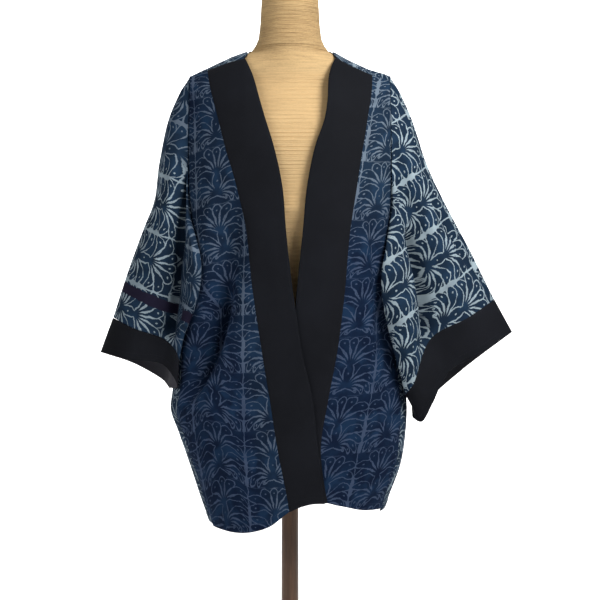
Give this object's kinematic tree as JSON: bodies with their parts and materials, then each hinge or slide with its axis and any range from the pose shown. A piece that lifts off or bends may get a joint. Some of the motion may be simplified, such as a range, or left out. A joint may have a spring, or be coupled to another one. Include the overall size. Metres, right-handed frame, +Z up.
{
  "type": "kimono jacket on a dress form",
  "caption": "Open kimono jacket of block-printed indigo cotton with black bands and cuffs, on a limbless twine-wound dress form with a pole and a round base.",
  "frame": {"origin": "middle of the base's underside", "axes": "+Z up, the garment faces -Y, the wearer's left is +X"},
  "size_m": [0.7823, 0.4, 1.54],
  "materials": {
    "printed_cotton": "matt block-printed cotton",
    "sleeve_cotton": "matt block-printed cotton",
    "black_cotton": "matt black cloth",
    "twine": "wound jute twine",
    "dark_wood": "oiled"
  },
  "bodies": {
    "root": {"back_panel": "printed_cotton", "front_panel_right": "printed_cotton", "front_panel_left": "printed_cotton", "sleeve_right": "sleeve_cotton", "sleeve_left": "sleeve_cotton", "cuff_right": "black_cotton", "cuff_left": "black_cotton", "front_band_right": "black_cotton", "front_band_left": "black_cotton", "back_neck_band": "black_cotton", "form_torso": "twine", "stand_pole": "dark_wood", "stand_base": "dark_wood"}
  },
  "joints": []
}
